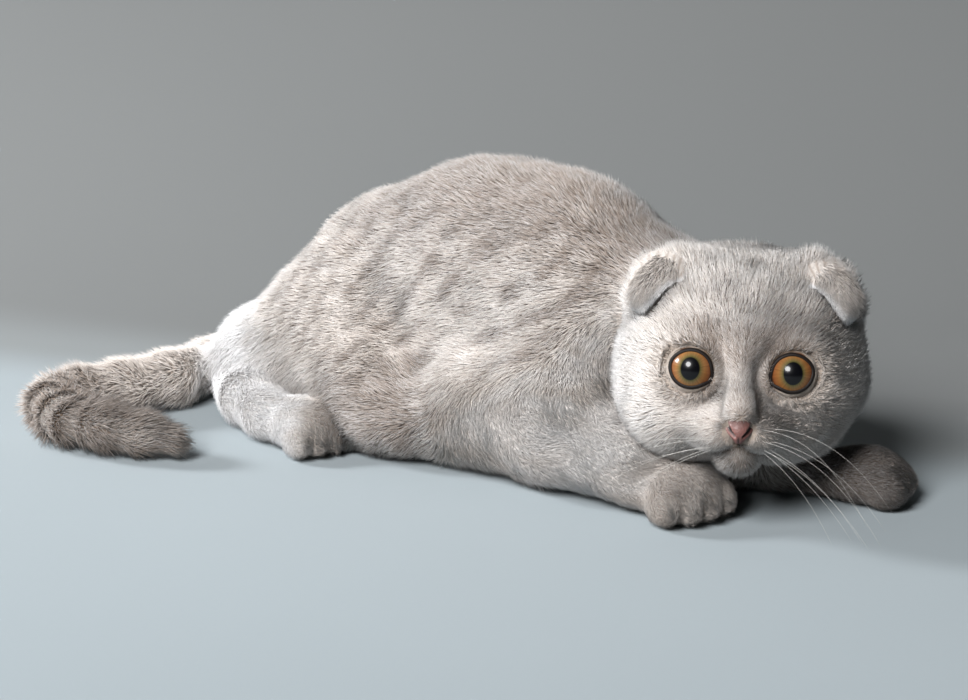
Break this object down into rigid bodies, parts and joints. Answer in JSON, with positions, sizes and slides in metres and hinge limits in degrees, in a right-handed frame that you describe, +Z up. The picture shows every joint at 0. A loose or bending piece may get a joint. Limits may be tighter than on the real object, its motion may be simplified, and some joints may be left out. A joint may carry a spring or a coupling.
{
  "type": "crouching scottish fold cat",
  "caption": "Life-size short-coated cat with folded ears, crouched low with its head turned aside and its tail curled forwards along the floor.",
  "frame": {"origin": "on the floor, on the flat underside of the torso, under the middle of the body", "axes": "+X forwards along the spine, +Y to the cat's left, +Z up"},
  "size_m": [0.3536, 0.2346, 0.1176],
  "materials": {
    "coat": "short dense pale fawn-grey coat with faint darker streaks and pale tips, lying along the body",
    "eye": "wet clear cornea over a copper iris with a round black pupil and a thin green inner ring",
    "nose": "fine pebbled, slightly moist mauve-pink skin"
  },
  "bodies": {
    "root": {"head": "coat", "neck": "coat", "torso": "coat", "tail_base": "coat", "tail_bend": "coat", "tail_tip": "coat", "ear_left": "coat", "ear_right": "coat", "front_right_upper_arm": "coat", "front_right_forearm": "coat", "front_right_paw": "coat", "front_left_upper_arm": "coat", "front_left_forearm": "coat", "front_left_paw": "coat", "hind_right_thigh": "coat", "hind_right_foot": "coat", "hind_right_paw": "coat", "hind_left_thigh": "coat", "hind_left_foot": "coat", "hind_left_paw": "coat", "eye_left": "eye", "eye_right": "eye", "nose": "nose"}
  },
  "joints": []
}
